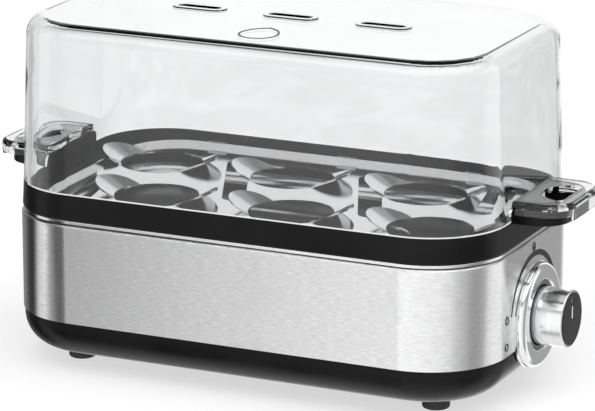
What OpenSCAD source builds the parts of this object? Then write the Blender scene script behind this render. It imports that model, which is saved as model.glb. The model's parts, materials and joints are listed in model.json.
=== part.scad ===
// Electric cooker for six eggs: a steel-clad base with a heated bowl, a lift-out egg carrier with two
// ears, a clear lid with end handles, and a dial on the right-hand end.
// Origin: middle of the foot plane. +X to the dial, -Y to the front, +Z up. Millimetres.

/* [Body] */
// Length of the steel jacket, left to right
body_l = 196; // [192:1:200]
// Depth of the steel jacket, front to back
body_w = 113.4; // [112:0.2:116]
// Corner radius of the jacket seen from above
body_r = 30.6; // [29:0.2:32]
// Height of the steel jacket
jacket_h = 38.1; // [38:0.1:42]
// Height of the black base shell
base_h = 14.8; // [14.4:0.1:15.2]
// Radius of the base shell's round lower edge
base_round = 12.4; // [11:0.2:13]
// Height of the feet below the base shell
foot_h = 5.5; // [5:0.5:6]
// Diameter of a foot
foot_d = 10.4; // [9:0.2:12]

/* [Carrier] */
// Height of the carrier's outer wall
band_h = 9.7; // [9.5:0.1:11]
// Reach of an ear from the middle of the body
ear_reach = 114.5; // [113:0.5:115]
// Width of an ear
ear_w = 36.4; // [34:0.2:36.6]

/* [Egg seats] */
// Spacing of the seats along a row
seat_pitch = 56; // [55:0.5:57]
// Shift of the front row to the right, and of the rear row to the left
row_shift = 10; // [9:0.5:10.5]
// Distance of each row from the middle
row_y = 22; // [21:0.5:23]
// Radius of an egg hole
seat_r = 16.5; // [15.5:0.5:17]
// Reach of a seat's petals from the middle of the seat
petal_reach = 24.6; // [23:0.2:25]

/* [Lid] */
// Height of the lid above the carrier's rim
lid_h = 63.4; // [60:0.2:75]
// Thickness of the lid's wall
lid_wall = 2.5; // [1.8:0.1:2.6]
// Radius of the lid's top edge
lid_round = 7; // [5:0.5:12]
// Reach of a lid handle from the middle of the lid
handle_reach = 118; // [117:0.5:120]
// Width of a lid handle
handle_w = 41; // [40.6:0.2:42]
// Length of a steam vent
vent_l = 18; // [12:1:20]
// Width of a steam vent
vent_w = 5; // [4:0.5:6]

/* [Dial] */
// Height of the dial's axis above the table
dial_z = 29.7; // [29:0.1:31]
// Radius of the knob
knob_r = 10.9; // [10:0.1:11.2]
// Distance of the knob's face from the middle of the body
knob_face = 113.5; // [111:0.5:116]
// Outer radius of the bezel
bezel_r = 19.9; // [19.5:0.1:20.2]

/* [Hidden] */

$fn = 64;
tiny = 0.01;

// Levels above the table
z_base = foot_h;
z_jacket = z_base + base_h;
z_jacket_top = z_jacket + jacket_h;
seal_t = 0.55;
flange_t = 1.15;
z_flange = z_jacket_top + seal_t;
z_carrier = z_flange + flange_t;
z_rim = z_carrier + band_h;
z_lid_top = z_rim + lid_h;
sheet_t = 0.6;
z_tray = z_carrier + 3.6;
z_bowl = z_jacket_top - 8.8;
plate_t = 3;
z_plate = z_bowl - plate_t;
element_r = 3.3;
z_element = z_plate - element_r;
z_shield = z_element - element_r - 3.4;

// Plan insets from the jacket's face
carrier_inset = 0.4;
rim_inset = 0.9;
carrier_wall = 2.5;
bowl_inset = 5;
base_wall = 2.4;

// Places that several pieces share
foot_x = 73.3;
foot_y = 33;
boss_x = 60;
boss_y = 38;
stud_x = 76;
stud_y = 22;
shield_x = 64;
shield_y = 31;
board_z = z_base + 8.6;
board_t = 1.6;
board_x0 = 30;
board_x1 = 86;
board_y = 30;
gland_x = 48;
gland_z = z_base + 8.6;
gland_r = 4.2;
shaft_r = 3;
bush_r = 3.6;
dial_back = body_l / 2 - 5;
cup_r = bezel_r - 0.9;

black = [0.05, 0.05, 0.055];
steel = [0.74, 0.74, 0.75];

// ---------- Shared shapes ----------

// A rectangle with round corners
module outline(l, w, r) {
    square([l - 2 * r, w], center = true);
    square([l, w - 2 * r], center = true);
    for (x = [-1, 1], y = [-1, 1])
        translate([x * (l / 2 - r), y * (w / 2 - r)])
            circle(r);
}

// An upright block with that outline
module slab(l, w, r, z0, z1) {
    translate([0, 0, z0])
        linear_extrude(z1 - z0)
            outline(l, w, r);
}

// An upright wall with that outline
module wall_ring(l, w, r, t, z0, z1) {
    difference() {
        slab(l, w, r, z0, z1);
        slab(l - 2 * t, w - 2 * t, r - t, z0 - 1, z1 + 1);
    }
}

// Half of a tub's section: a round lower edge, then a side that leans in towards the top
module tub_side(half, edge, lean, h) {
    polygon([[0, 0], [half - edge, 0], [half, edge], [half - lean, h], [0, h]]);
    translate([half - edge, edge])
        intersection() {
            circle(edge);
            translate([0, -edge])
                square(edge);
        }
}

// A block with round corners and a round lower edge: quarter turns at the corners, straight runs between
module tub(l, w, r, z0, h, edge, lean = 0) {
    x = l / 2 - r;
    y = w / 2 - r;
    translate([0, 0, z0]) {
        for (c = [[x, y, 0], [-x, y, 90], [-x, -y, 180], [x, -y, 270]])
            translate([c[0], c[1], 0])
                rotate([0, 0, c[2]])
                    rotate_extrude(angle = 90)
                        tub_side(r, edge, lean, h);
        for (turn = [0, 180])
            rotate([0, 0, turn]) {
                translate([-x, 0, 0])
                    rotate([90, 0, 90])
                        linear_extrude(2 * x)
                            tub_side(w / 2, edge, lean, h);
                translate([x, y, 0])
                    rotate([90, 0, 0])
                        linear_extrude(2 * y)
                            tub_side(r, edge, lean, h);
            }
    }
}

// The same block turned over, so that its top edge is round
module tub_down(l, w, r, z_top, h, edge, lean = 0) {
    translate([0, 0, z_top])
        mirror([0, 0, 1])
            tub(l, w, r, 0, h, edge, lean);
}

// A slot with round ends, along X
module slot(l, w) {
    square([l - w, w], center = true);
    for (x = [-1, 1])
        translate([x * (l - w) / 2, 0])
            circle(w / 2);
}

// Children at both ends and both sides
module at_corners(x, y) {
    for (sx = [-1, 1], sy = [-1, 1])
        translate([sx * x, sy * y, 0])
            children();
}

// A finger opening: an arc towards the body and a straight outer side with small round corners
module finger_opening(x_in, x_out, r, corner) {
    intersection() {
        translate([x_in + r, 0])
            circle(r);
        translate([x_out - r, 0])
            outline(2 * r, 2 * r - 0.6, corner);
    }
}

// The dial's axis: local Z runs along +X of the cooker, and local -X is up
module on_dial() {
    translate([0, 0, dial_z])
        rotate([0, 90, 0])
            children();
}

// A pan-head screw that points up, with its head's seat at z = 0
module screw_up(head_r, head_h, r, l) {
    translate([0, 0, -head_h])
        difference() {
            cylinder(h = head_h, r = head_r);
            translate([0, 0, -1])
                for (turn = [0, 90])
                    rotate([0, 0, turn])
                        translate([-head_r * 0.6, -0.35, 0])
                            cube([head_r * 1.2, 0.7, 1 + head_h * 0.45]);
        }
    cylinder(h = l, r = r);
}

// A wire that runs along +X, steps across to +Y through two bends, and runs on along +X
module stepped_wire(first, across, last, r, bend) {
    rotate([0, 90, 0])
        cylinder(h = first - bend, r = r);
    translate([first - bend, bend, 0])
        rotate([0, 0, -90])
            rotate_extrude(angle = 90)
                translate([bend, 0])
                    circle(r);
    translate([first, bend, 0])
        rotate([-90, 0, 0])
            cylinder(h = across - 2 * bend, r = r);
    translate([first + bend, across - bend, 0])
        rotate([0, 0, 90])
            rotate_extrude(angle = 90)
                translate([bend, 0])
                    circle(r);
    translate([first + bend, across, 0])
        rotate([0, 90, 0])
            cylinder(h = last - bend, r = r);
}

// An egg's outline, blunt end down: a half circle below and a taller pointed arch above
module egg_outline(w) {
    r = w / 2;
    intersection() {
        circle(r);
        translate([-r, -r])
            square([w, r]);
    }
    intersection() {
        translate([-r * 0.6, 0])
            circle(r * 1.6);
        translate([r * 0.6, 0])
            circle(r * 1.6);
        translate([-r, -tiny])
            square([w, w]);
    }
}

// ---------- Base ----------

base_inset = 0.5;
pocket_r = 6.4;
pocket_y = body_w / 2 - 2.4;

module base_shell() {
    l = body_l - 2 * base_inset;
    w = body_w - 2 * base_inset;
    r = body_r - base_inset;
    floor_z = z_base + base_wall;
    lip_inset = 3.8;
    lip_t = 1.4;
    color(black)
        difference() {
            union() {
                difference() {
                    tub(l, w, r, z_base, base_h, base_round);
                    tub(l - 2 * base_wall, w - 2 * base_wall, r - base_wall, floor_z, base_h,
                        base_round - base_wall);
                }
                wall_ring(body_l - 2 * lip_inset, body_w - 2 * lip_inset, body_r - lip_inset, lip_t,
                    z_jacket - 5, z_jacket + 2.6);
                // ledge that ties the locating lip to the side wall
                wall_ring(l - 2, w - 2, r - 1, 5, z_jacket - 5, z_jacket - 3.4);
                at_corners(boss_x, boss_y)
                    translate([0, 0, z_base])
                        cylinder(h = 12, r = 4.6);
                for (x = [board_x0 + 5, board_x1 - 5], y = [-1, 1])
                    translate([x, y * (board_y - 5), z_base + 1])
                        cylinder(h = board_z - z_base - 1, r = 3);
                translate([gland_x, pocket_y, gland_z])
                    rotate([90, 0, 0])
                        cylinder(h = 4.4, r = pocket_r + 1.2);
            }
            at_corners(boss_x, boss_y) {
                translate([0, 0, z_base - 1])
                    cylinder(h = 7, r = 3.4);
                translate([0, 0, z_base])
                    cylinder(h = 20, r = 1.7);
            }
            at_corners(foot_x, foot_y)
                translate([0, 0, z_base - 1])
                    cylinder(h = 6, r = 2.6);
            for (x = [board_x0 + 5, board_x1 - 5], y = [-1, 1])
                translate([x, y * (board_y - 5), board_z - 5])
                    cylinder(h = 6, r = 1.2);
            translate([gland_x, pocket_y, gland_z])
                rotate([-90, 0, 0])
                    cylinder(h = 10, r = pocket_r);
            translate([gland_x, body_w / 2, gland_z])
                rotate([90, 0, 0])
                    cylinder(h = 12, r = gland_r + 0.05);
            // room for the gland's inner collar in the round lower edge
            translate([gland_x, pocket_y - 4.35, gland_z])
                rotate([90, 0, 0])
                    cylinder(h = 3, r = gland_r + 1.3);
            translate([dial_back - 4, 0, dial_z])
                rotate([0, 90, 0])
                    cylinder(h = 20, r = cup_r + 0.1);
            // cooling slots under the electronics
            for (i = [-3 : 3])
                translate([-20 + i * 7, 0, z_base - 1])
                    linear_extrude(6)
                        rotate([0, 0, 90])
                            slot(34, 2.4);
        }
}

module foot_pads() {
    color([0.09, 0.09, 0.095])
        at_corners(foot_x, foot_y) {
            rotate_extrude() {
                square([foot_d / 2 - 1, foot_h]);
                translate([0, 1])
                    square([foot_d / 2, foot_h - 1]);
                translate([foot_d / 2 - 1, 1])
                    circle(1);
            }
            translate([0, 0, foot_h - tiny])
                cylinder(h = base_wall + tiny, r = 2.6);
            translate([0, 0, foot_h + base_wall])
                cylinder(h = 1.6, r1 = 3.6, r2 = 2.2);
        }
}

module base_screws() {
    color(steel)
        at_corners(boss_x, boss_y)
            translate([0, 0, z_base + 6])
                screw_up(3, 2.2, 1.5, 20);
}

chassis_inset = 1.2;
chassis_wall = 2;
lug_z = z_bowl - 5.6;
lug_h = 3;

module chassis() {
    l = body_l - 2 * chassis_inset;
    w = body_w - 2 * chassis_inset;
    r = body_r - chassis_inset;
    shelf_h = 2.2;
    z_top = z_jacket_top - 0.8;
    z_low = z_jacket + 0.4;
    inner_l = l - 2 * chassis_wall;
    inner_w = w - 2 * chassis_wall;
    color([0.12, 0.12, 0.13])
        difference() {
            union() {
                wall_ring(l, w, r, chassis_wall, z_low, z_top);
                wall_ring(l, w, r, 3.4, z_top - shelf_h, z_top);
                // lugs that carry the bowl's studs
                intersection() {
                    slab(inner_l + 2, inner_w + 2, r - 1, lug_z, lug_z + lug_h);
                    at_corners(stud_x + 11, stud_y)
                        cube([32, 12, 200], center = true);
                }
                // lugs that carry the heat shield
                intersection() {
                    slab(inner_l + 2, inner_w + 2, r - 1, z_shield - 2.4, z_shield);
                    at_corners(shield_x, shield_y + 14)
                        cube([10, 36, 200], center = true);
                }
                // posts that take the screws from below, tied to the front and rear walls
                at_corners(boss_x, boss_y)
                    translate([0, 0, z_base + 12])
                        cylinder(h = z_shield - 2.4 - z_base - 12 + tiny, r = 4);
                at_corners(boss_x, boss_y + 9)
                    translate([-1, -7, z_low + 3])
                        cube([2, 14, z_shield - 2.4 - z_low - 3 + tiny]);
            }
            at_corners(boss_x, boss_y)
                translate([0, 0, z_base + 11])
                    cylinder(h = 15.4, r = 1.5);
            at_corners(stud_x, stud_y)
                translate([0, 0, lug_z - 1])
                    cylinder(h = lug_h + 2, r = 2.2);
            at_corners(shield_x, shield_y)
                translate([0, 0, z_shield - 4])
                    cylinder(h = 5, r = 1.25);
            translate([dial_back - 4, 0, dial_z])
                rotate([0, 90, 0])
                    cylinder(h = 20, r = cup_r + 0.4);
        }
}

module steel_jacket() {
    t = 0.8;
    top_lip = 4;
    bend = 1;
    color(steel)
        difference() {
            tub_down(body_l, body_w, body_r, z_jacket_top, jacket_h, bend);
            slab(body_l - 2 * t, body_w - 2 * t, body_r - t, z_jacket - 1, z_jacket_top - t);
            slab(body_l - 2 * top_lip, body_w - 2 * top_lip, body_r - top_lip, z_jacket_top - 2,
                z_jacket_top + 1);
            translate([dial_back, 0, dial_z])
                rotate([0, 90, 0])
                    cylinder(h = 20, r = cup_r + 0.1);
        }
}

module heating_bowl() {
    edge = 7;
    l = body_l - 2 * bowl_inset;
    w = body_w - 2 * bowl_inset;
    r = body_r - bowl_inset;
    flange_in = 0.6;
    color([0.8, 0.8, 0.81]) {
        difference() {
            union() {
                tub_down(body_l - 2 * flange_in, body_w - 2 * flange_in, body_r - flange_in, z_carrier,
                    flange_t, 0.4);
                tub(l, w, r, z_bowl, z_carrier - z_bowl, edge);
            }
            tub(l - 2 * sheet_t, w - 2 * sheet_t, r - sheet_t, z_bowl + sheet_t, 30, edge - sheet_t);
        }
        // shallow ring that shows the filling area
        difference() {
            slab(96, 46, 22, z_bowl + sheet_t - tiny, z_bowl + sheet_t + 0.5);
            slab(93, 43, 20.5, z_bowl, z_bowl + 2);
        }
        // welded studs
        at_corners(stud_x, stud_y)
            translate([0, 0, lug_z - 4.4])
                cylinder(h = z_bowl - lug_z + 4.4 + tiny, r = 2);
    }
}

module bowl_seal() {
    lip_t = 0.8;
    lip_in = 4.1;
    out = 1.2;
    color([0.07, 0.07, 0.07]) {
        wall_ring(body_l - 2 * out, body_w - 2 * out, body_r - out, bowl_inset - out - 0.05,
            z_jacket_top, z_flange);
        wall_ring(body_l - 2 * lip_in, body_w - 2 * lip_in, body_r - lip_in, lip_t,
            z_jacket_top - 0.7, z_jacket_top + tiny);
    }
}

module bowl_nuts() {
    color(steel)
        at_corners(stud_x, stud_y)
            translate([0, 0, lug_z - 3.2])
                difference() {
                    union() {
                        cylinder(h = 2.4, r = 3.9, $fn = 6);
                        translate([0, 0, 2.4])
                            cylinder(h = 0.8, r = 4.6);
                    }
                    translate([0, 0, -1])
                        cylinder(h = 6, r = 2);
                }
}

module heater_plate() {
    color([0.7, 0.71, 0.72])
        slab(132, 62, 20, z_plate, z_bowl);
}

// ---------- Heating parts ----------

element_run = 44;
element_y = 20;

module heating_element() {
    color([0.32, 0.3, 0.29])
        translate([0, 0, z_element]) {
            for (y = [-1, 1])
                translate([-element_run, y * element_y, 0])
                    rotate([0, 90, 0])
                        cylinder(h = 2 * element_run, r = element_r);
            translate([-element_run, 0, 0])
                rotate([0, 0, 90])
                    rotate_extrude(angle = 180)
                        translate([element_y, 0])
                            circle(element_r);
        }
}

module element_terminals() {
    color([0.86, 0.84, 0.8])
        for (y = [-1, 1])
            translate([element_run, y * element_y, z_element])
                rotate([0, 90, 0]) {
                    cylinder(h = 5, r = 2.6);
                    translate([0, 0, 5 - tiny])
                        cylinder(h = 3, r = 1.3);
                    translate([-3, -0.4, 8 - tiny])
                        cube([6, 0.8, 8]);
                }
}

thermostat_r = 8;
thermostat_h = 6.5;

module thermostat() {
    color([0.16, 0.14, 0.13])
        translate([0, 0, z_plate]) {
            translate([0, 0, -thermostat_h])
                cylinder(h = thermostat_h - 1, r = thermostat_r);
            translate([0, 0, -1 - tiny])
                cylinder(h = 1 + tiny, r = thermostat_r + 1);
            for (y = [-1, 1])
                translate([-3, y * 10 - 3, -4.4])
                    cube([6, 6, 0.8]);
        }
}

module thermal_fuse() {
    color([0.75, 0.73, 0.68])
        translate([30, 0, z_plate - 2.2])
            rotate([90, 0, 0]) {
                translate([0, 0, -6])
                    cylinder(h = 12, r = 2.2);
                translate([0, 0, -11])
                    cylinder(h = 22, r = 0.6, $fn = 24);
            }
}

module heat_shield() {
    l = 2 * shield_x + 14;
    w = 2 * shield_y + 12;
    color([0.78, 0.78, 0.8])
        difference() {
            slab(l, w, 9, z_shield, z_shield + 3);
            slab(l - 1.2, w - 1.2, 8.4, z_shield + sheet_t, z_shield + 4);
            at_corners(shield_x, shield_y)
                translate([0, 0, z_shield - 1])
                    cylinder(h = 3, r = 1.8);
            // way through for the heater wires
            translate([56, 0, z_shield - 1])
                cylinder(h = 3, r = 8);
        }
}

module shield_screws() {
    color(steel)
        at_corners(shield_x, shield_y)
            translate([0, 0, z_shield + sheet_t])
                mirror([0, 0, 1])
                    screw_up(2.6, 1.6, 1.25, 3);
}

// ---------- Electronics ----------

module control_board() {
    color([0.1, 0.33, 0.2])
        difference() {
            translate([board_x0, -board_y, board_z])
                cube([board_x1 - board_x0, 2 * board_y, board_t]);
            for (x = [board_x0 + 5, board_x1 - 5], y = [-1, 1])
                translate([x, y * (board_y - 5), board_z - 1])
                    cylinder(h = 4, r = 1.5);
        }
}

module board_screws() {
    color(steel)
        for (x = [board_x0 + 5, board_x1 - 5], y = [-1, 1])
            translate([x, y * (board_y - 5), board_z + board_t])
                mirror([0, 0, 1])
                    screw_up(2.6, 1.6, 1.2, 5.6);
}

module triac_heatsink() {
    fin = 1.2;
    color([0.62, 0.63, 0.65])
        translate([36, -16, board_z + board_t]) {
            cube([14, fin, 11]);
            for (i = [0 : 4])
                translate([i * 3.2, -6, 0])
                    cube([fin, 6 + tiny, 11]);
        }
}

module capacitor() {
    color([0.75, 0.62, 0.2])
        translate([56, 12, board_z + board_t])
            cube([13, 7, 8]);
    color([0.12, 0.13, 0.2])
        translate([44, 8, board_z + board_t])
            cylinder(h = 9, r = 4);
}

module buzzer() {
    color([0.08, 0.08, 0.08])
        translate([66, -14, board_z + board_t])
            difference() {
                cylinder(h = 6, r = 7);
                translate([0, 0, 4])
                    cylinder(h = 4, r = 1.4);
            }
}

block_y = 30;
block_l = 24;
block_w = 14;
block_h = 11;
block_z = z_base + base_wall;
clamp_pitch = 8;
wire_r = 1.2;

module terminal_block() {
    color([0.88, 0.87, 0.83])
        difference() {
            translate([-block_l / 2, block_y - block_w / 2, block_z])
                cube([block_l, block_w, block_h]);
            for (i = [-1 : 1]) {
                translate([i * clamp_pitch, block_y + block_w / 2 - 3, gland_z])
                    rotate([-90, 0, 0])
                        cylinder(h = 8, r = wire_r + 0.1);
                translate([i * clamp_pitch, block_y - block_w / 2 - 1, gland_z])
                    rotate([-90, 0, 0])
                        cylinder(h = 4, r = wire_r + 0.1);
                translate([i * clamp_pitch, block_y, gland_z + 2])
                    cylinder(h = 8, r = 2.2);
            }
        }
}

// Three short leads from the cord entry to the terminal block
module mains_wires() {
    y_start = pocket_y - 8.6;
    for (i = [-1 : 1])
        color([[0.15, 0.3, 0.7], [0.35, 0.6, 0.2], [0.45, 0.25, 0.12]][i + 1])
            translate([gland_x + i * 2.6, y_start, gland_z])
                mirror([1, 0, 0])
                    rotate([0, 0, -90])
                        stepped_wire(y_start - 41 + i * 2.6, gland_x + i * (2.6 - clamp_pitch),
                            41 - i * 2.6 - block_y - block_w / 2 + 3, wire_r, 2);
}

// Leads from the board up to the element's terminals
module heater_wires() {
    z_start = board_z + board_t;
    z_across = z_element - 4.6;
    x = element_run + 12;
    color([0.85, 0.85, 0.82])
        for (y = [0, 1])
            mirror([0, y, 0])
                translate([x, 3, z_start])
                    rotate([0, -90, 0])
                        stepped_wire(z_across - z_start, element_y - 3, 1.6, wire_r, 1.6 - tiny);
}

module cord_gland() {
    color([0.06, 0.06, 0.06])
        translate([gland_x, pocket_y, gland_z])
            rotate([90, 0, 0])
                difference() {
                    union() {
                        translate([0, 0, -2.2])
                            cylinder(h = 2.2, r = pocket_r - 0.3);
                        translate([0, 0, -tiny])
                            cylinder(h = 8, r = gland_r);
                        translate([0, 0, 4.5])
                            cylinder(h = 1.6, r = gland_r + 1);
                    }
                    translate([0, 0, -4])
                        cylinder(h = 20, r = 3.2);
                }
}

// ---------- Dial ----------

housing_t = 1.2;
bezel_hole = 13.2;

module dial_housing() {
    color(black)
        on_dial()
            difference() {
                union() {
                    translate([0, 0, body_l / 2])
                        cylinder(h = housing_t, r = bezel_r - 0.6);
                    translate([0, 0, dial_back])
                        cylinder(h = body_l / 2 - dial_back + tiny, r = cup_r);
                }
                translate([0, 0, dial_back + 2])
                    cylinder(h = 20, r = cup_r - 2);
                translate([0, 0, dial_back - 1])
                    cylinder(h = 10, r = bush_r);
            }
}

// Turned ring: a lip round the housing's flange, a groove, a round shoulder and a face that slopes inwards
module dial_bezel() {
    lip_r = bezel_r + 0.1;
    ring_r = bezel_r - 0.3;
    groove_r = ring_r - 0.3;
    groove_z = 1.2;
    groove_w = 0.3;
    shoulder = 2.3;
    shoulder_z = 1.9;
    hole_edge = 0.9;
    hole_edge_z = 3.1;
    color([0.86, 0.86, 0.87])
        on_dial()
            translate([0, 0, body_l / 2])
                rotate_extrude()
                    polygon(concat(
                        [
                            [bezel_hole, housing_t], [bezel_r - 0.55, housing_t], [bezel_r - 0.55, 0],
                            [lip_r, 0], [lip_r, groove_z - 0.2], [lip_r - 0.2, groove_z],
                            [groove_r, groove_z], [groove_r, groove_z + groove_w],
                            [ring_r, groove_z + groove_w]
                        ],
                        [
                            for (a = [0 : 10 : 90])
                                [ring_r - shoulder * (1 - cos(a)), shoulder_z + shoulder * sin(a)]
                        ],
                        [
                            for (a = [0 : 15 : 90])
                                [bezel_hole + hole_edge * (1 - sin(a)), hole_edge_z + hole_edge * cos(a)]
                        ]
                    ));
}

module light_ring() {
    color([0.55, 0.57, 0.6, 0.8])
        on_dial()
            difference() {
                translate([0, 0, dial_back + 2])
                    cylinder(h = 6.2, r = bezel_hole - 0.05);
                translate([0, 0, dial_back])
                    cylinder(h = 20, r = bezel_hole - 1.7);
            }
}

mark_t = 0.15;

// A direction on the end face, from +Y towards +Z
function ray(angle, r) = [r * cos(angle), r * sin(angle)];

module dial_scale() {
    arc_r = 22;
    icon_w = 2.8;
    line = 0.4;
    side = 26;
    color([0.08, 0.08, 0.08])
        translate([body_l / 2, 0, dial_z])
            rotate([90, 0, 90])
                linear_extrude(mark_t) {
                    // band that widens from soft to hard
                    intersection() {
                        difference() {
                            translate(ray(70, 1.5))
                                circle(arc_r + 0.6);
                            circle(arc_r);
                        }
                        polygon([
                            [0, 0], ray(33, arc_r), ray(25, arc_r + 2.6), ray(25, 60), ray(90, 90),
                            ray(168, 60)
                        ]);
                    }
                    // soft, medium and hard eggs, and a ring for off
                    translate([-side, 4.2])
                        difference() {
                            egg_outline(icon_w);
                            egg_outline(icon_w - 2 * line);
                        }
                    translate([0, 25.6]) {
                        difference() {
                            egg_outline(icon_w);
                            egg_outline(icon_w - 2 * line);
                        }
                        intersection() {
                            egg_outline(icon_w - line);
                            translate([-3, -3])
                                square([6, 3.4]);
                        }
                    }
                    translate([side, -3])
                        egg_outline(icon_w);
                    translate([-side, -5.7])
                        difference() {
                            circle(1.5);
                            circle(1.5 - line);
                        }
                }
}

module rotary_control() {
    color([0.2, 0.24, 0.22])
        on_dial()
            difference() {
                union() {
                    translate([0, 0, dial_back - 9])
                        cylinder(h = 9, r = 8.5);
                    translate([0, 0, dial_back - tiny])
                        cylinder(h = 6 + tiny, r = bush_r);
                    translate([6, -5, dial_back - 7])
                        cube([7, 10, 1.6]);
                }
                translate([0, 0, dial_back - 7])
                    cylinder(h = 20, r = shaft_r + 0.05);
            }
}

module control_nut() {
    color(steel)
        on_dial()
            translate([0, 0, dial_back + 2])
                difference() {
                    union() {
                        cylinder(h = 0.6, r = 6.4);
                        translate([0, 0, 0.6 - tiny])
                            cylinder(h = 2, r = 5.8, $fn = 6);
                    }
                    translate([0, 0, -1])
                        cylinder(h = 6, r = bush_r);
                }
}

shaft_flat = 1.6;

// Outline of the shaft's end, round with one flat
module shaft_section() {
    difference() {
        circle(shaft_r);
        translate([shaft_flat, -shaft_r])
            square(2 * shaft_r);
    }
}

x_shaft_flat = body_l / 2 + 3;
x_shaft_end = knob_face - 3.5;

module control_shaft() {
    color([0.7, 0.7, 0.68])
        on_dial() {
            translate([0, 0, dial_back - 6.6])
                cylinder(h = x_shaft_flat - dial_back + 6.6, r = shaft_r);
            translate([0, 0, x_shaft_flat - tiny])
                linear_extrude(x_shaft_end - x_shaft_flat + tiny)
                    shaft_section();
        }
}

sleeve_t = 1;
knob_back = body_l / 2 + 2.6;

module knob_hub() {
    color(black)
        on_dial()
            difference() {
                translate([0, 0, knob_back + 0.6])
                    cylinder(h = knob_face - cap_t - knob_back - 0.6, r = knob_r - sleeve_t);
                difference() {
                    translate([0, 0, knob_back])
                        cylinder(h = knob_face - 4.4 - knob_back, r = knob_r - sleeve_t - 1.6);
                    translate([0, 0, knob_back - 1])
                        cylinder(h = 30, r = 5);
                }
                translate([0, 0, knob_back])
                    linear_extrude(x_shaft_end - knob_back)
                        shaft_section();
                translate([0, 0, knob_back - 1])
                    cylinder(h = x_shaft_flat - knob_back + 1, r = shaft_r);
            }
}

module knob_sleeve() {
    edge = 0.5;
    l = knob_face - 0.27 - knob_back;
    color([0.82, 0.82, 0.83])
        on_dial()
            translate([0, 0, knob_back])
                rotate_extrude() {
                    translate([knob_r - sleeve_t, 0])
                        square([sleeve_t, l - edge]);
                    translate([knob_r - sleeve_t, 0])
                        square([sleeve_t - edge, l]);
                    translate([knob_r - edge, l - edge])
                        circle(edge);
                }
}

cap_t = 1.7;
marker_r = 1.1;
marker_up = 6.8;
pointer_w = 0.9;
pointer_l = 4.6;
pointer_up = 0.2;
pointer_t = 0.3;

module knob_cap() {
    color([0.03, 0.03, 0.035])
        on_dial()
            difference() {
                translate([0, 0, knob_face - cap_t])
                    cylinder(h = cap_t, r = knob_r - sleeve_t);
                translate([-marker_up, 0, knob_face - 0.5])
                    cylinder(h = 2, r = marker_r);
                translate([-pointer_up - pointer_l, -pointer_w / 2, knob_face - pointer_t])
                    cube([pointer_l, pointer_w, 2]);
            }
}

module knob_pointer() {
    color([0.95, 0.95, 0.95])
        on_dial()
            translate([-pointer_up - pointer_l, -pointer_w / 2, knob_face - pointer_t])
                cube([pointer_l, pointer_w, pointer_t]);
}

module knob_marker() {
    color([0.3, 0.3, 0.32])
        on_dial()
            translate([-marker_up, 0, knob_face - 0.5])
                cylinder(h = 0.25, r = marker_r);
}

// ---------- Carrier ----------

tray_l = 172;
tray_w = 104;
tray_r = 22;
lip_h = 2.4;
lip_top = z_tray + lip_h;
end_wall_w = 41.6;
ear_top = z_rim + 5;
ear_bottom = z_rim - 1.1;

// One ear: a loop of flat bars with a rounded top edge
module ear() {
    bar = 3.4;
    r = 11;
    x_root = body_l / 2 - rim_inset - carrier_wall + 0.5;
    difference() {
        tub_down(2 * ear_reach, ear_w, r, ear_top, ear_top - ear_bottom, 1);
        slab(2 * ear_reach - 2 * bar, ear_w - 2 * bar, r - bar, ear_bottom - 1, ear_top + 1);
        translate([x_root - 300, -50, ear_bottom - 5])
            cube([300, 100, 30]);
    }
}

module carrier_frame() {
    l = body_l - 2 * carrier_inset;
    w = body_w - 2 * carrier_inset;
    r = body_r - carrier_inset;
    wall_in = rim_inset + carrier_wall;
    rib_in = 6.2;
    rib_t = 1.8;
    shelf_t = 2;
    rim_l = body_l - 2 * rim_inset;
    color(black) {
        // outer wall and the shelf that carries the tray
        difference() {
            tub(l, w, r, z_carrier, band_h, 0.8, rim_inset - carrier_inset);
            slab(body_l - 2 * wall_in, body_w - 2 * wall_in, body_r - wall_in, z_tray, z_rim + 1);
            slab(tray_l - 7, tray_w - 7, tray_r - 3.5, z_carrier - 1, z_rim);
            slab(body_l - 2 * rib_in - 2 * rib_t, body_w - 2 * rib_in - 2 * rib_t,
                body_r - rib_in - rib_t, z_carrier - 1, z_tray - shelf_t);
        }
        // rib that centres the carrier in the bowl
        wall_ring(body_l - 2 * rib_in, body_w - 2 * rib_in, body_r - rib_in, rib_t,
            z_carrier - 3, z_carrier + 0.5);
        // raised end walls
        intersection() {
            wall_ring(rim_l, body_w - 2 * rim_inset, body_r - rim_inset, carrier_wall,
                z_rim - 0.5, ear_top - 0.4);
            translate([0, 0, z_rim - 10])
                rotate([90, 0, 90])
                    linear_extrude(2 * body_l, center = true)
                        translate([0, ear_top - 0.4 - z_rim])
                            outline(end_wall_w, 20, 3);
        }
        for (turn = [0, 180])
            rotate([0, 0, turn])
                ear();
    }
}

petal_r = 10.5;
petal_rise = 5.2;

// One petal: part of a shallow cone, trimmed to a round tab, pointing along +X
module petal() {
    c = petal_reach - petal_r;
    root = seat_r - 0.4;
    intersection() {
        rotate([0, 0, -50])
            rotate_extrude(angle = 100)
                polygon([
                    [root, z_tray + 0.1], [petal_reach + 1, z_tray + petal_rise],
                    [petal_reach + 1, z_tray + petal_rise + 0.72], [root, z_tray + 0.82]
                ]);
        translate([c, 0, z_tray - 1])
            cylinder(h = petal_rise + 4, r = petal_r);
    }
}

function seat_places() = [
    for (row = [-1, 1], i = [-1 : 1]) [i * seat_pitch - row * row_shift, row * row_y]
];

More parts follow.
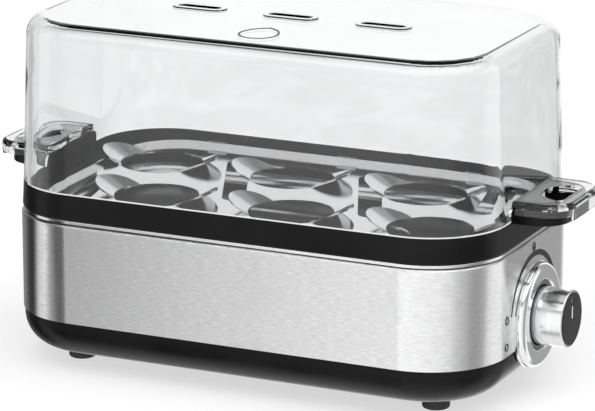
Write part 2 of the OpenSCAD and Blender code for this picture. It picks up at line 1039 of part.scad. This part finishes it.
module egg_tray() {
    vent = 9;
    color([0.8, 0.8, 0.82]) {
        difference() {
            union() {
                slab(tray_l, tray_w, tray_r, z_tray, z_tray + sheet_t);
                wall_ring(tray_l, tray_w, tray_r, sheet_t, z_tray, lip_top);
            }
            for (p = seat_places())
                translate([p[0], p[1], z_tray - 1])
                    cylinder(h = 3, r = seat_r);
            // slanted steam openings between the seats
            for (i = [-1 : 2 : 1])
                tray_vent([i * seat_pitch / 2 - row_shift, 33], [i * seat_pitch / 2 + row_shift, -13],
                    vent);
            for (turn = [0, 180])
                rotate([0, 0, turn])
                    tray_vent([-76, -8], [-71, -36], vent - 1);
        }
        for (p = seat_places())
            translate([p[0], p[1], 0])
                for (turn = [0, 180])
                    rotate([0, 0, turn])
                        petal();
    }
}

// A slot with round ends between two points of the tray
module tray_vent(a, b, w) {
    d = b - a;
    translate([(a[0] + b[0]) / 2, (a[1] + b[1]) / 2, z_tray - 1])
        rotate([0, 0, atan2(d[1], d[0])])
            linear_extrude(3)
                slot(norm(d) + w, w);
}

// Clips that hold the tray down on the carrier's shelf
module tray_clips() {
    color(steel)
        for (x = [-56, 0, 56], y = [-1, 1])
            translate([x, y * (tray_w / 2), 0])
                mirror([0, y < 0 ? 1 : 0, 0]) {
                    translate([-4, 0, z_tray])
                        cube([8, body_w / 2 - rim_inset - carrier_wall - tray_w / 2, 0.8]);
                    translate([-4, 0, z_tray])
                        cube([8, 0.6, lip_h + 0.3]);
                    translate([-4, -1.6, lip_top])
                        cube([8, 2.2, 0.6]);
                }
}

// ---------- Lid ----------

handle_top = z_rim + 7.6;
handle_under = ear_top;
lid_gap = 0.15;
lid_lean = 2;

// One handle: a plate with a skirt, a deeper grip at its outer edge and a finger opening
module lid_handle() {
    skirt_z = handle_under - 2.1;
    grip_z = z_rim + 1;
    t = 1.8;
    r = 10.5;
    grip_w = 27;
    x_root = body_l / 2 - rim_inset - 1;
    difference() {
        union() {
            tub_down(2 * handle_reach, handle_w, r, handle_top, handle_top - skirt_z, 1.8);
            intersection() {
                slab(2 * handle_reach, handle_w, r, grip_z, skirt_z + 0.5);
                translate([0, 0, grip_z + 10])
                    cube([4 * handle_reach, grip_w, 20], center = true);
            }
        }
        slab(2 * handle_reach - 2 * t, handle_w - 2 * t, r - t, grip_z - 2, handle_under);
        translate([x_root - 300, -50, grip_z - 5])
            cube([300, 100, 30]);
        // skirts stop short of the carrier's raised wall
        translate([x_root - 10, -50, grip_z - 5])
            cube([12, 100, handle_under - grip_z + 5]);
        translate([0, 0, handle_under - 2])
            linear_extrude(8)
                finger_opening(101.4, 112.8, 11.8, 2.4);
    }
}

module lid() {
    top_l = body_l - 2 * rim_inset - 2 * lid_lean;
    top_w = body_w - 2 * rim_inset - 2 * lid_lean;
    top_r = body_r - rim_inset - lid_lean;
    notch_w = end_wall_w + 1.2;
    vent_pitch = 37.7;
    vent_y = -1.5;
    color([0.85, 0.88, 0.9, 0.35]) {
        difference() {
            tub_down(top_l, top_w, top_r, z_lid_top, lid_h - lid_gap, lid_round, -lid_lean);
            tub_down(top_l - 2 * lid_wall, top_w - 2 * lid_wall, top_r - lid_wall,
                z_lid_top - lid_wall, lid_h, lid_round - lid_wall, -lid_lean);
            // notch in each end wall, over the carrier's raised wall
            for (x = [-1, 1])
                translate([x * (body_l / 2 - 5), 0, handle_under])
                    rotate([90, 0, 90])
                        linear_extrude(16, center = true)
                            translate([0, -10])
                                outline(notch_w, 20, 3);
            for (i = [-1 : 1])
                translate([i * vent_pitch, vent_y, z_lid_top - lid_wall - 1])
                    linear_extrude(8)
                        slot(vent_l, vent_w);
        }
        // raised rim round each vent
        for (i = [-1 : 1])
            translate([i * vent_pitch, vent_y, z_lid_top - 0.4])
                linear_extrude(1)
                    difference() {
                        slot(vent_l + 4, vent_w + 4);
                        slot(vent_l, vent_w);
                    }
        for (turn = [0, 180])
            rotate([0, 0, turn])
                lid_handle();
    }
}

module lid_mark() {
    color([0.25, 0.25, 0.25])
        translate([1.5, -33, z_lid_top])
            linear_extrude(mark_t)
                difference() {
                    egg_outline(15);
                    egg_outline(13.6);
                }
}

base_shell();
foot_pads();
base_screws();
chassis();
steel_jacket();
heating_bowl();
bowl_seal();
bowl_nuts();
heater_plate();
heating_element();
element_terminals();
thermostat();
thermal_fuse();
heat_shield();
shield_screws();
control_board();
board_screws();
triac_heatsink();
capacitor();
buzzer();
terminal_block();
mains_wires();
heater_wires();
cord_gland();
dial_housing();
dial_bezel();
light_ring();
dial_scale();
rotary_control();
control_nut();
control_shaft();
knob_hub();
knob_sleeve();
knob_cap();
knob_pointer();
knob_marker();
carrier_frame();
egg_tray();
tray_clips();
lid();
lid_mark();
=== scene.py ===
"""Egg cooker: materials, floor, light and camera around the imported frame."""
import json
import math

import bmesh
import bpy
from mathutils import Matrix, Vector

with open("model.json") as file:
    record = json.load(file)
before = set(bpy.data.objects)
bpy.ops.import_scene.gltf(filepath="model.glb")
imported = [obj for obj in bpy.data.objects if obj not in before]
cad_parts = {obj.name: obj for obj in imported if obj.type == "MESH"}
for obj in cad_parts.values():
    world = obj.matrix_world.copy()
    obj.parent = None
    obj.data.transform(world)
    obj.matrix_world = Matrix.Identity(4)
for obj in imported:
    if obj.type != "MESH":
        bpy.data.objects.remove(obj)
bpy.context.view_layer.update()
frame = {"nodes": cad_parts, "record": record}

nodes = frame["nodes"]


def math_node(tree, op, a, b=None):
    """A Math node; a and b are numbers or sockets."""
    n = tree.nodes.new("ShaderNodeMath")
    n.operation = op
    for i, v in enumerate((a, b)):
        if isinstance(v, (int, float)):
            n.inputs[i].default_value = v
        elif v is not None:
            tree.links.new(v, n.inputs[i])
    return n.outputs[0]


# ---------------------------------------------------------------- materials
class Mat:
    """A node material with one Principled shader and short helpers."""

    def __init__(self, name):
        self.material = bpy.data.materials.new(name)
        self.material.use_nodes = True
        self.tree = self.material.node_tree
        self.tree.nodes.clear()
        self.output = self.new("ShaderNodeOutputMaterial")
        self.shader = self.new("ShaderNodeBsdfPrincipled")
        self.link(self.shader.outputs[0], self.output.inputs[0])
        self._pos = None

    def new(self, kind, **props):
        n = self.tree.nodes.new(kind)
        for k, v in props.items():
            setattr(n, k, v)
        return n

    def link(self, a, b):
        self.tree.links.new(a, b)

    def set(self, **values):
        for k, v in values.items():
            s = self.shader.inputs[k.replace("_", " ")]
            s.default_value = (*v, 1.0) if isinstance(v, tuple) and len(v) == 3 else v
        return self

    def pos(self):
        if self._pos is None:
            self._pos = self.new("ShaderNodeTexCoord").outputs["Object"]
        return self._pos

    def scaled(self, x, y, z):
        n = self.new("ShaderNodeMapping")
        self.link(self.pos(), n.inputs["Vector"])
        n.inputs["Scale"].default_value = (x, y, z)
        return n.outputs[0]

    def noise(self, scale, detail=3.0, rough=0.55, vector=None, distortion=0.0):
        n = self.new("ShaderNodeTexNoise")
        self.link(vector or self.pos(), n.inputs["Vector"])
        n.inputs["Scale"].default_value = scale
        n.inputs["Detail"].default_value = detail
        n.inputs["Roughness"].default_value = rough
        n.inputs["Distortion"].default_value = distortion
        return n.outputs["Fac"]

    def ramp(self, value, low, high, a, b):
        """Value from low to high becomes a to b."""
        n = self.new("ShaderNodeMapRange")
        self.link(value, n.inputs["Value"])
        n.inputs["From Min"].default_value = low
        n.inputs["From Max"].default_value = high
        n.inputs["To Min"].default_value = a
        n.inputs["To Max"].default_value = b
        return n.outputs[0]

    def math(self, op, a, b):
        return math_node(self.tree, op, a, b)

    def mix(self, fac, a, b):
        """Blend of two colours, each a tuple or a socket, by a factor socket."""
        n = self.new("ShaderNodeMix", data_type="RGBA")
        self.link(fac, n.inputs["Factor"])
        for i, v in ((6, a), (7, b)):
            if isinstance(v, tuple):
                n.inputs[i].default_value = (*v, 1.0)
            else:
                self.link(v, n.inputs[i])
        return n.outputs[2]

    def bump(self, height, strength, distance, normal=None):
        n = self.new("ShaderNodeBump")
        n.inputs["Strength"].default_value = strength
        n.inputs["Distance"].default_value = distance
        self.link(height, n.inputs["Height"])
        if normal:
            self.link(normal, n.inputs["Normal"])
        return n.outputs[0]

    def edge_wear(self):
        """0 on open surfaces and towards 1 on sharp outer edges, from the mesh's own shape."""
        n = self.new("ShaderNodeNewGeometry")
        return self.ramp(n.outputs["Pointiness"], 0.505, 0.56, 0.0, 1.0)


def moulded(name, colour, rough, grain=0.00025, grain_h=0.00002, spec=0.35, dust=0.06, coat=0.0, sheen=None):
    """Moulded plastic: spark-eroded grain, slow sheen variation, a trace of dust and paler worn edges.

    sheen is (low, high, specular): below low the surface has that specular, above high it has spec.
    """
    mat = Mat(name)
    mat.set(Specular_IOR_Level=spec, IOR=1.5)
    if coat:
        mat.set(Coat_Weight=coat, Coat_Roughness=0.08)
    if sheen:
        # rubbed to a satin shine below, matt above
        low, high, shine = sheen
        z = mat.new("ShaderNodeSeparateXYZ")
        mat.link(mat.pos(), z.inputs[0])
        mat.link(mat.ramp(z.outputs["Z"], low, high, shine, spec), mat.shader.inputs["Specular IOR Level"])
    slow = mat.noise(28.0, 3.0)
    fine = mat.noise(1.0 / grain, 2.0, 0.6)
    cloud = mat.noise(140.0, 4.0)
    pale = tuple(min(1.0, c * 1.9 + 0.012) for c in colour)
    dusty = tuple(min(1.0, c * 1.5 + dust * 0.12) for c in colour)
    c = mat.mix(mat.ramp(slow, 0.35, 0.75, 0.0, 0.7), colour, dusty)
    c = mat.mix(mat.ramp(cloud, 0.62, 0.85, 0.0, 0.35), c, dusty)
    c = mat.mix(mat.math("MULTIPLY", mat.edge_wear(), 0.5), c, pale)
    mat.link(c, mat.shader.inputs["Base Color"])
    speckle = mat.ramp(fine, 0.3, 0.7, -0.03, 0.03)
    r = mat.math("ADD", mat.ramp(slow, 0.3, 0.7, rough - 0.04, rough + 0.05), speckle)
    mat.link(r, mat.shader.inputs["Roughness"])
    mat.link(mat.bump(fine, 0.5, grain_h), mat.shader.inputs["Normal"])
    return mat.material


def brushed(name, colour, rough, along=(300.0, 300.0, 3200.0), aniso=0.6):
    """Metal brushed in one direction: long fine streaks in colour, roughness and height."""
    mat = Mat(name)
    mat.set(Metallic=1.0, Anisotropic=aniso, Anisotropic_Rotation=0.25)
    t = mat.new("ShaderNodeTangent", direction_type="RADIAL", axis="Z")
    mat.link(t.outputs[0], mat.shader.inputs["Tangent"])
    streak = mat.noise(1.0, 5.0, 0.62, mat.scaled(*along))
    long_streak = mat.noise(1.0, 3.0, 0.5, mat.scaled(along[0] * 0.35, along[1] * 0.35, along[2] * 0.45))
    cloud = mat.noise(16.0, 3.0)
    smudge = mat.noise(45.0, 5.0, 0.6, distortion=0.6)
    dark = tuple(c * 0.80 for c in colour)
    light = tuple(min(1.0, c * 1.08) for c in colour)
    c = mat.mix(mat.ramp(streak, 0.32, 0.68, 0.0, 1.0), dark, light)
    c = mat.mix(mat.ramp(long_streak, 0.35, 0.7, 0.0, 0.45), c, colour)
    c = mat.mix(mat.ramp(cloud, 0.4, 0.8, 0.0, 0.18), c, dark)
    mat.link(c, mat.shader.inputs["Base Color"])
    worn = mat.ramp(smudge, 0.5, 0.8, 0.0, 0.05)
    r = mat.math("ADD", mat.ramp(streak, 0.3, 0.7, rough + 0.07, rough - 0.06), worn)
    mat.link(r, mat.shader.inputs["Roughness"])
    mat.link(mat.bump(streak, 0.35, 0.000012), mat.shader.inputs["Normal"])
    return mat.material


def polished(name, colour, rough):
    """Pressed bright steel: faint drawing marks, slow waviness from pressing and water spots."""
    mat = Mat(name)
    mat.set(Metallic=1.0)
    slow = mat.noise(60.0, 2.0)
    draw = mat.noise(1.0, 4.0, 0.6, mat.scaled(260.0, 2200.0, 2200.0))
    spots = mat.noise(420.0, 2.0, 0.4)
    dark = tuple(c * 0.86 for c in colour)
    c = mat.mix(mat.ramp(draw, 0.35, 0.7, 0.0, 0.6), dark, colour)
    c = mat.mix(mat.ramp(spots, 0.68, 0.78, 0.0, 0.4), c, dark)
    mat.link(c, mat.shader.inputs["Base Color"])
    dull = mat.ramp(spots, 0.66, 0.78, 0.0, 0.12)
    r = mat.math("ADD", mat.ramp(slow, 0.3, 0.7, rough - 0.03, rough + 0.05), dull)
    mat.link(r, mat.shader.inputs["Roughness"])
    n = mat.bump(slow, 0.6, 0.00004)
    mat.link(mat.bump(draw, 0.25, 0.000006, n), mat.shader.inputs["Normal"])
    return mat.material


def turned(name, colour, rough):
    """Metal turned on a lathe about the dial's axis: fine rings along it."""
    mat = Mat(name)
    mat.set(Metallic=1.0, Anisotropic=0.35)
    t = mat.new("ShaderNodeTangent", direction_type="RADIAL", axis="X")
    mat.link(t.outputs[0], mat.shader.inputs["Tangent"])
    rings = mat.noise(1.0, 4.0, 0.6, mat.scaled(5200.0, 12.0, 12.0))
    slow = mat.noise(25.0, 1.0)
    dark = tuple(c * 0.84 for c in colour)
    mat.link(mat.mix(mat.ramp(rings, 0.3, 0.7, 0.0, 1.0), dark, colour), mat.shader.inputs["Base Color"])
    drift = mat.ramp(slow, 0.3, 0.7, -0.01, 0.02)
    r = mat.math("ADD", mat.ramp(rings, 0.3, 0.7, rough + 0.03, rough - 0.02), drift)
    mat.link(r, mat.shader.inputs["Roughness"])
    mat.link(mat.bump(rings, 0.15, 0.000004), mat.shader.inputs["Normal"])
    return mat.material


def chromed(name, colour, rough):
    """Bright plating: a faint tint, soft haze and a trace of unevenness."""
    mat = Mat(name)
    mat.set(Metallic=1.0)
    slow = mat.noise(70.0, 3.0)
    haze = mat.noise(500.0, 3.0)
    tint = tuple(c * 0.93 for c in colour)
    mat.link(mat.mix(mat.ramp(slow, 0.4, 0.75, 0.0, 1.0), colour, tint), mat.shader.inputs["Base Color"])
    r = mat.math("ADD", mat.ramp(slow, 0.3, 0.7, rough, rough + 0.05), mat.ramp(haze, 0.5, 0.75, 0.0, 0.05))
    mat.link(r, mat.shader.inputs["Roughness"])
    mat.link(mat.bump(haze, 0.2, 0.000006), mat.shader.inputs["Normal"])
    return mat.material


def clear(name, tint, rough, ior=1.49, shadow=0.93, absorb=150.0):
    """Clear moulded plastic: flow ripple, faint scuffs, and lamps shine through it."""
    mat = Mat(name)
    mat.set(Transmission_Weight=1.0, IOR=ior, Specular_IOR_Level=0.5)
    flow = mat.noise(22.0, 2.0, 0.4, distortion=0.4)
    scuff = mat.noise(1.0, 5.0, 0.65, mat.scaled(700.0, 160.0, 900.0))
    grey = tuple(c * 0.965 for c in tint)
    mat.link(mat.mix(mat.ramp(flow, 0.35, 0.7, 0.0, 1.0), tint, grey), mat.shader.inputs["Base Color"])
    r = mat.math("ADD", mat.ramp(flow, 0.3, 0.7, rough * 0.5, rough), mat.ramp(scuff, 0.66, 0.8, 0.0, 0.07))
    mat.link(r, mat.shader.inputs["Roughness"])
    mat.link(mat.bump(flow, 0.25, 0.00006), mat.shader.inputs["Normal"])
    clear_shader = mat.new("ShaderNodeBsdfTransparent")
    clear_shader.inputs[0].default_value = (shadow, shadow, shadow, 1.0)
    lp = mat.new("ShaderNodeLightPath")
    mixer = mat.new("ShaderNodeMixShader")
    mat.link(lp.outputs["Is Shadow Ray"], mixer.inputs[0])
    mat.link(mat.shader.outputs[0], mixer.inputs[1])
    mat.link(clear_shader.outputs[0], mixer.inputs[2])
    mat.link(mixer.outputs[0], mat.output.inputs[0])
    smoke = mat.new("ShaderNodeVolumeAbsorption")
    smoke.inputs["Color"].default_value = (0.90, 0.905, 0.905, 1.0)
    smoke.inputs["Density"].default_value = absorb
    mat.link(smoke.outputs[0], mat.output.inputs["Volume"])
    return mat.material


def printed(name, colour, rough=0.45):
    """Screen-printed ink: slightly uneven cover."""
    mat = Mat(name)
    mat.set(Specular_IOR_Level=0.3)
    cover = mat.noise(900.0, 3.0)
    pale = tuple(c * 1.5 + 0.01 for c in colour)
    mat.link(mat.mix(mat.ramp(cover, 0.45, 0.8, 0.0, 0.6), colour, pale), mat.shader.inputs["Base Color"])
    mat.link(mat.ramp(cover, 0.3, 0.7, rough - 0.05, rough + 0.08), mat.shader.inputs["Roughness"])
    mat.link(mat.bump(cover, 0.3, 0.000008), mat.shader.inputs["Normal"])
    return mat.material


MATS = {
    "base_black": moulded("moulded_base", (0.003, 0.003, 0.0032), 0.27, spec=0.06,
                          sheen=(0.009, 0.019, 0.30)),
    "carrier_black": moulded("moulded_carrier", (0.004, 0.004, 0.0042), 0.30, spec=0.12),
    "dial_black": moulded("moulded_dial", (0.008, 0.008, 0.0085), 0.30, spec=0.3),
    "inner_black": moulded("moulded_inner", (0.022, 0.022, 0.024), 0.55, grain=0.0005, spec=0.3),
    "foot_rubber": moulded("rubber_feet", (0.018, 0.018, 0.018), 0.62, grain=0.0003, spec=0.3, dust=0.25),
    "seal_rubber": moulded("rubber_seal", (0.012, 0.012, 0.012), 0.6, grain=0.0003, spec=0.25),
    "brushed_jacket": brushed("steel_brushed", (0.86, 0.862, 0.866), 0.31, aniso=1.0),
    "polished_bowl": polished("steel_bowl", (0.80, 0.80, 0.81), 0.14),
    "tray_steel": polished("steel_tray", (0.82, 0.82, 0.83), 0.10),
    "screw_steel": polished("steel_screws", (0.62, 0.62, 0.64), 0.28),
    "plate_aluminium": brushed("aluminium_plate", (0.74, 0.75, 0.76), 0.38, (200.0, 200.0, 1500.0), 0.2),
    "heatsink_aluminium": brushed("aluminium_sheet", (0.72, 0.73, 0.75), 0.32, (120.0, 1600.0, 1600.0), 0.2),
    "element_sheath": moulded("element_sheath", (0.10, 0.085, 0.075), 0.5, grain=0.0003, spec=0.5, dust=0.5),
    "ceramic": moulded("ceramic", (0.78, 0.76, 0.70), 0.6, grain=0.0003, spec=0.3, dust=0.1),
    "phenolic": moulded("phenolic", (0.045, 0.03, 0.022), 0.42, spec=0.4),
    "board_green": moulded("solder_mask", (0.02, 0.13, 0.055), 0.3, grain=0.0007, spec=0.5),
    "capacitor_yellow": moulded("capacitor", (0.55, 0.36, 0.05), 0.4, spec=0.4),
    "nylon": moulded("nylon", (0.78, 0.76, 0.69), 0.5, spec=0.35, dust=0.1),
    "wire_sleeve": moulded("wire_sleeve", (0.03, 0.10, 0.35), 0.45, spec=0.4),
    "wire_silicone": moulded("wire_silicone", (0.72, 0.69, 0.6), 0.5, spec=0.35),
    "bezel_chrome": chromed("chrome_bezel", (0.86, 0.865, 0.87), 0.10),
    "lens_smoke": moulded("lens_smoke", (0.05, 0.052, 0.056), 0.22, spec=0.5, coat=0.4),
    "print_black": printed("ink_black", (0.012, 0.012, 0.012)),
    "mark_grey": printed("ink_grey", (0.06, 0.06, 0.06)),
    "knob_aluminium": turned("aluminium_knob", (0.84, 0.845, 0.85), 0.17),
    "knob_black": moulded("knob_face", (0.003, 0.003, 0.0033), 0.14, grain=0.0006, grain_h=0.000003,
                          spec=0.2),
    "pointer_white": moulded("pointer", (0.86, 0.86, 0.85), 0.35, spec=0.4),
    "marker_grey": moulded("marker", (0.12, 0.12, 0.125), 0.3, spec=0.5),
    "lid_clear": clear("clear_lid", (0.965, 0.972, 0.975), 0.015),
}

SLOT_OF = {part["node"]: part["material_slot"] for part in frame["record"]["subparts"]}
for name, obj in nodes.items():
    mat = MATS[SLOT_OF[name]]
    obj.data.materials.clear()
    obj.data.materials.append(mat)
    for p in obj.data.polygons:
        p.material_index = 0


# ---------------------------------------------------------------- shading of the carried-over nodes
# edges sharper than this stay sharp, and seams closer than this in metres are joined
CREASE = math.radians(32.0)
SEAM = 1e-6


def soften(obj, bevel):
    """Joins the tessellation's seams, rounds sharp edges a little and shades the curves smoothly."""
    w = obj.modifiers.new("join", "WELD")
    w.merge_threshold = SEAM
    if bevel:
        b = obj.modifiers.new("round", "BEVEL")
        b.width = bevel
        b.segments = 2
        b.limit_method = "ANGLE"
        b.angle_limit = CREASE
        b.use_clamp_overlap = True
    e = obj.modifiers.new("crease", "EDGE_SPLIT")
    e.split_angle = CREASE
    n = obj.modifiers.new("flat", "WEIGHTED_NORMAL")
    n.mode = "FACE_AREA"
    n.weight = 90
    n.keep_sharp = True
    obj.data.shade_smooth()


# rounding of the sharp edges, in metres; the others keep the edges that the CAD gives them
BEVELS = {"carrier_frame": 0.00025, "dial_housing": 0.0002, "cord_gland": 0.0002, "knob_cap": 0.00012}
for name, obj in nodes.items():
    soften(obj, BEVELS.get(name, 0.0))


# ---------------------------------------------------------------- camera
# the point it looks at and its distance from it, in metres
LOOK_AT = (0.00114, 0.00195, 0.05942)
DISTANCE = 1.3909
# degrees to the right of the front, and degrees up
AZIMUTH, ELEVATION = 24.82, 15.50
# a long lens, so the long edges stay nearly parallel
LENS_MM, SENSOR_MM = 222.12908, 36.0


def make_camera():
    """From the front, to the right and a little above, with a long lens."""
    az, el = math.radians(AZIMUTH), math.radians(ELEVATION)
    back = Vector((math.sin(az) * math.cos(el), -math.cos(az) * math.cos(el), math.sin(el)))
    cam = bpy.data.cameras.new("camera")
    cam.sensor_width = SENSOR_MM
    cam.lens = LENS_MM
    cam.clip_start, cam.clip_end = 0.05, 60.0
    o = bpy.data.objects.new("camera", cam)
    bpy.context.scene.collection.objects.link(o)
    o.location = Vector(LOOK_AT) + back * DISTANCE
    o.rotation_mode = "QUATERNION"
    o.rotation_quaternion = (-back).to_track_quat("-Z", "Y")
    bpy.context.scene.camera = o


make_camera()


# ---------------------------------------------------------------- floor
# half of the floor's side, in metres, and the light it gives off, which keeps shadows faint
FLOOR_REACH = 14.0
FLOOR_GLOW = 0.62


def make_floor():
    """Pale paper, hidden from mirrored rays and from rays through the lid, which see the studio."""
    me = bpy.data.meshes.new("floor")
    bm = bmesh.new()
    bmesh.ops.create_grid(bm, x_segments=24, y_segments=24, size=FLOOR_REACH)
    bm.to_mesh(me)
    bm.free()
    o = bpy.data.objects.new("floor", me)
    bpy.context.scene.collection.objects.link(o)
    mat = Mat("floor_paper")
    mat.set(Specular_IOR_Level=0.1, Emission_Color=(1.0, 1.0, 1.0), Emission_Strength=FLOOR_GLOW)
    tone = mat.noise(3.0, 3.0)
    paper = mat.mix(mat.ramp(tone, 0.3, 0.7, 0.0, 1.0), (0.43, 0.43, 0.43), (0.45, 0.45, 0.45))
    mat.link(paper, mat.shader.inputs["Base Color"])
    mat.link(mat.ramp(tone, 0.3, 0.7, 0.75, 0.85), mat.shader.inputs["Roughness"])
    me.materials.append(mat.material)
    o.visible_glossy = False
    o.visible_transmission = False


make_floor()


# ---------------------------------------------------------------- light
# (degrees from the front, left negative; brightness) near the horizon
AZIMUTHS = [
    (-180, 1.25), (-150, 1.25), (-141, 0.35), (-118, 0.22), (-103, 0.02), (-88, 0.02), (-77, 1.0), (-63, 1.0),
    (-54, 0.20), (-42, 0.03), (-30, 0.03), (-26.5, 1.12), (-22, 1.30), (-5, 1.20), (25, 1.10), (48, 0.95),
    (66, 0.60), (88, 0.30), (102, 0.34), (114, 1.00), (139, 1.20), (149, 0.42), (166, 0.38), (176, 0.9),
    (180, 1.25),
]
# (degrees from the front, left negative; brightness) of the canopy overhead
CANOPY = [(-180, 0.10), (-66, 0.05), (-46, 1.9), (-20, 1.9), (90, 1.7), (140, 1.5), (165, 0.10), (180, 0.10)]
# the same ring as light sees it that has come through clear plastic: white, with two narrow gaps
THROUGH = [
    (-180, 1.03), (-130, 1.03), (-122, 0.70), (-111, 0.70), (-103, 1.03), (152, 1.03), (160, 0.70),
    (170, 0.70), (177, 1.03), (180, 1.03),
]
# (degrees above the horizon; share of the ring of softboxes)
WEIGHTS = [(-90, 0.0), (-65, 0.0), (-40, 1.0), (26, 1.0), (33, 0.0), (90, 0.0)]
# (degrees above the horizon; brightness of what is above and below that ring)
LEVELS = [(-90, 1.0), (-50, 1.0), (-10, 0.8), (26, 0.8), (33, 0.42), (90, 0.42)]
# (degrees above the horizon; share of the canopy)
OVERHEAD = [(-90, 0.0), (37, 0.0), (44, 1.0), (90, 1.0)]
# the lamp's place, the point it faces and its side, in metres, and its power in watts
LAMP_AT, LAMP_AIM = (0.0, 0.1, 1.9), (0.0, 0.0, 0.05)
LAMP_SIDE = 1.5
LAMP_POWER = 4.0


def colour_ramp(tree, value, stops):
    """Grey level eased between stops; each stop is a position from 0 to 1 and a brightness."""
    n = tree.nodes.new("ShaderNodeValToRGB")
    tree.links.new(value, n.inputs[0])
    ramp = n.color_ramp
    ramp.interpolation = "EASE"
    while len(ramp.elements) > 1:
        ramp.elements.remove(ramp.elements[-1])
    for i, (position, v) in enumerate(stops):
        e = ramp.elements[0] if i == 0 else ramp.elements.new(position)
        e.position = position
        e.color = (v, v, v, 1.0)
    return n.outputs[0]


def colour_mix(tree, factor, a, b):
    n = tree.nodes.new("ShaderNodeMix")
    n.data_type = "RGBA"
    for socket, v in (("Factor", factor), (6, a), (7, b)):
        tree.links.new(v, n.inputs[socket])
    return n.outputs[2]


def make_world():
    """A soft studio all round: softboxes and darker gaps by compass direction, and a canopy."""
    w = bpy.data.worlds.new("studio")
    bpy.context.scene.world = w
    w.use_nodes = True
    w.cycles.sampling_method = "NONE"
    tree = w.node_tree
    tree.nodes.clear()
    out = tree.nodes.new("ShaderNodeOutputWorld")
    bg = tree.nodes.new("ShaderNodeBackground")
    tree.links.new(bg.outputs[0], out.inputs[0])
    sep = tree.nodes.new("ShaderNodeSeparateXYZ")
    tree.links.new(tree.nodes.new("ShaderNodeTexCoord").outputs["Generated"], sep.inputs[0])

    # compass direction and height as 0 to 1
    angle = math_node(tree, "ARCTAN2", sep.outputs[0], math_node(tree, "MULTIPLY", sep.outputs[1], -1.0))
    compass = math_node(tree, "ADD", math_node(tree, "MULTIPLY", angle, 0.5 / math.pi), 0.5)
    rise = math_node(tree, "ARCSINE", sep.outputs[2])
    height = math_node(tree, "ADD", math_node(tree, "MULTIPLY", rise, 1.0 / math.pi), 0.5)

    def around(stops):
        return colour_ramp(tree, compass, [(d / 360.0 + 0.5, v) for d, v in stops])

    def upward(stops):
        return colour_ramp(tree, height, [(d / 180.0 + 0.5, v) for d, v in stops])

    path = tree.nodes.new("ShaderNodeLightPath")
    ring = colour_mix(tree, path.outputs["Is Transmission Ray"], around(AZIMUTHS), around(THROUGH))
    rest = colour_mix(tree, upward(OVERHEAD), upward(LEVELS), around(CANOPY))
    tree.links.new(colour_mix(tree, upward(WEIGHTS), rest, ring), bg.inputs["Color"])
    bg.inputs["Strength"].default_value = 1.0


def make_lamp():
    """One large soft lamp above, a little behind."""
    lamp = bpy.data.lights.new("overhead", "AREA")
    lamp.shape = "RECTANGLE"
    lamp.size = lamp.size_y = LAMP_SIDE
    lamp.energy = LAMP_POWER
    o = bpy.data.objects.new("overhead", lamp)
    o.location = LAMP_AT
    o.rotation_mode = "QUATERNION"
    o.rotation_quaternion = (Vector(LAMP_AIM) - Vector(LAMP_AT)).to_track_quat("-Z", "Y")
    bpy.context.scene.collection.objects.link(o)


make_world()
make_lamp()

scene = bpy.context.scene
scene.view_settings.view_transform = "Standard"
scene.view_settings.look = "None"
scene.cycles.max_bounces = 16
scene.cycles.transmission_bounces = 12
scene.cycles.transparent_max_bounces = 16
